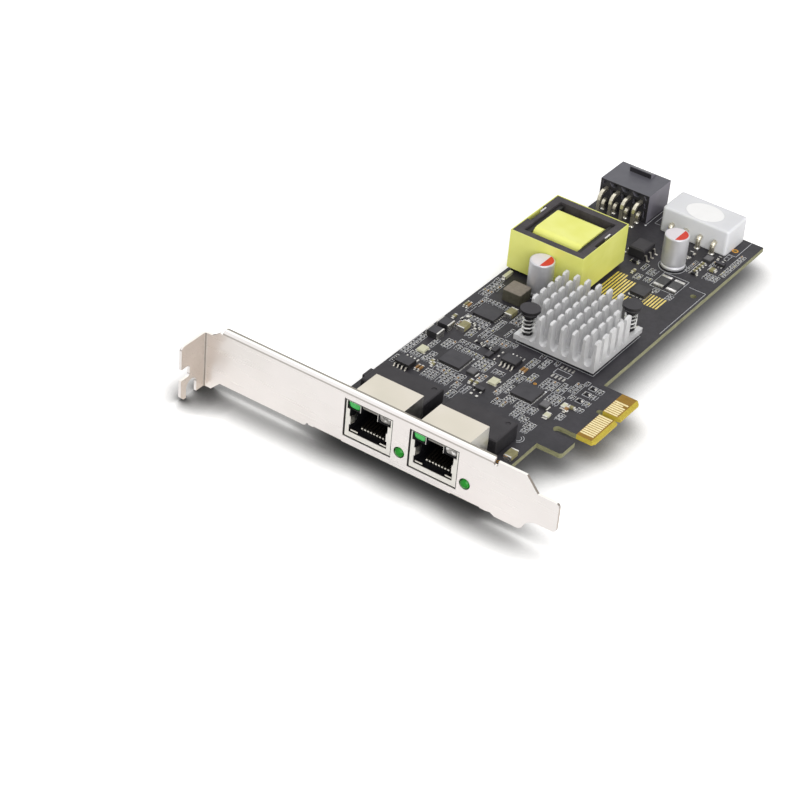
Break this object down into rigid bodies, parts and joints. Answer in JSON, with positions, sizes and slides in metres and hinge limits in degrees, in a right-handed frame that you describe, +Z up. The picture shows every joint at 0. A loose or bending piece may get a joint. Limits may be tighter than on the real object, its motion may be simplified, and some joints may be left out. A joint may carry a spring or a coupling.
{
  "type": "network interface card",
  "caption": "Network interface card: circuit board on a folded slot bracket with paired network ports, heatsink, power transformer and power headers.",
  "frame": {"origin": "centre of the bottom of the whole card's box as it lies component side up", "axes": "+X along the bracket from the screw tab to the tongue and towards the edge contacts, +Y from the bracket's face back along the board, +Z up from the component side"},
  "size_m": [0.119, 0.1766, 0.0217],
  "materials": {
    "nickel_steel": "satin nickel-plated steel sheet",
    "screw_steel": "plated screw steel",
    "solder_mask": "matt black solder mask over glass laminate",
    "gold": "gold plating",
    "port_plastic": "black moulded plastic",
    "tin_shield": "bright tin-plated sheet",
    "contact_wire": "gold-flashed spring wire",
    "green_lens": "tinted epoxy, green",
    "clear_lens": "clear epoxy",
    "panel_lens": "tinted epoxy, deep green",
    "black_moulding": "black moulding compound",
    "tin_lead": "tin-plated leads",
    "sink_aluminium": "clear anodised aluminium",
    "gap_pad": "soft thermal pad",
    "nylon_black": "black nylon",
    "spring_steel": "bright spring steel",
    "ferrite": "dark grey ferrite",
    "tape_yellow": "yellow polyester tape",
    "winding_yellow": "yellow polyester tape over the winding",
    "can_aluminium": "bright drawn aluminium",
    "seal_rubber": "black rubber",
    "white_nylon": "natural white nylon",
    "choke_body": "pressed iron powder",
    "crystal_lid": "metal lid",
    "shunt_body": "black coated resistor",
    "ceramic_tan": "tan ceramic"
  },
  "bodies": {
    "root": {"bracket_screws": "screw_steel", "bridge_chip": "black_moulding", "capacitor_can_1": "can_aluminium", "capacitor_can_2": "can_aluminium", "capacitor_seal_1": "seal_rubber", "capacitor_seal_2": "seal_rubber", "ceramic_capacitors": "ceramic_tan", "chip_leads": "tin_lead", "chokes": "choke_body", "circuit_board": "solder_mask", "crystals": "crystal_lid", "diodes": "black_moulding", "drive_header": "white_nylon", "drive_header_pins": "tin_lead", "edge_contacts_bottom": "gold", "edge_contacts_top": "gold", "end_caps": "tin_lead", "exposed_copper": "gold", "heatsink": "sink_aluminium", "magnetics_1": "black_moulding", "magnetics_2": "black_moulding", "magnetics_leads_1": "tin_lead", "magnetics_leads_2": "tin_lead", "memory_chips": "black_moulding", "mounting_bracket": "nickel_steel", "network_chips": "black_moulding", "optocoupler": "black_moulding", "panel_lamp_1": "panel_lens", "panel_lamp_2": "panel_lens", "panel_lamp_holder_1": "black_moulding", "panel_lamp_holder_2": "black_moulding", "port_clear_lamp_1": "clear_lens", "port_clear_lamp_2": "clear_lens", "port_green_lamp_1": "green_lens", "port_green_lamp_2": "green_lens", "port_housing_1": "port_plastic", "port_housing_2": "port_plastic", "port_shield_1": "tin_shield", "port_shield_2": "tin_shield", "port_wires_1": "contact_wire", "port_wires_2": "contact_wire", "power_chips": "black_moulding", "power_header": "nylon_black", "power_header_pins": "tin_lead", "power_inductor": "choke_body", "push_pin_1": "nylon_black", "push_pin_2": "nylon_black", "push_pin_spring_1": "spring_steel", "push_pin_spring_2": "spring_steel", "shunt_resistors": "shunt_body", "thermal_pad": "gap_pad", "transformer_bobbin": "nylon_black", "transformer_clips": "tin_lead", "transformer_core_left": "ferrite", "transformer_core_right": "ferrite", "transformer_pins": "tin_lead", "transformer_tape": "tape_yellow", "transformer_winding": "winding_yellow", "transistors": "black_moulding"}
  },
  "joints": []
}
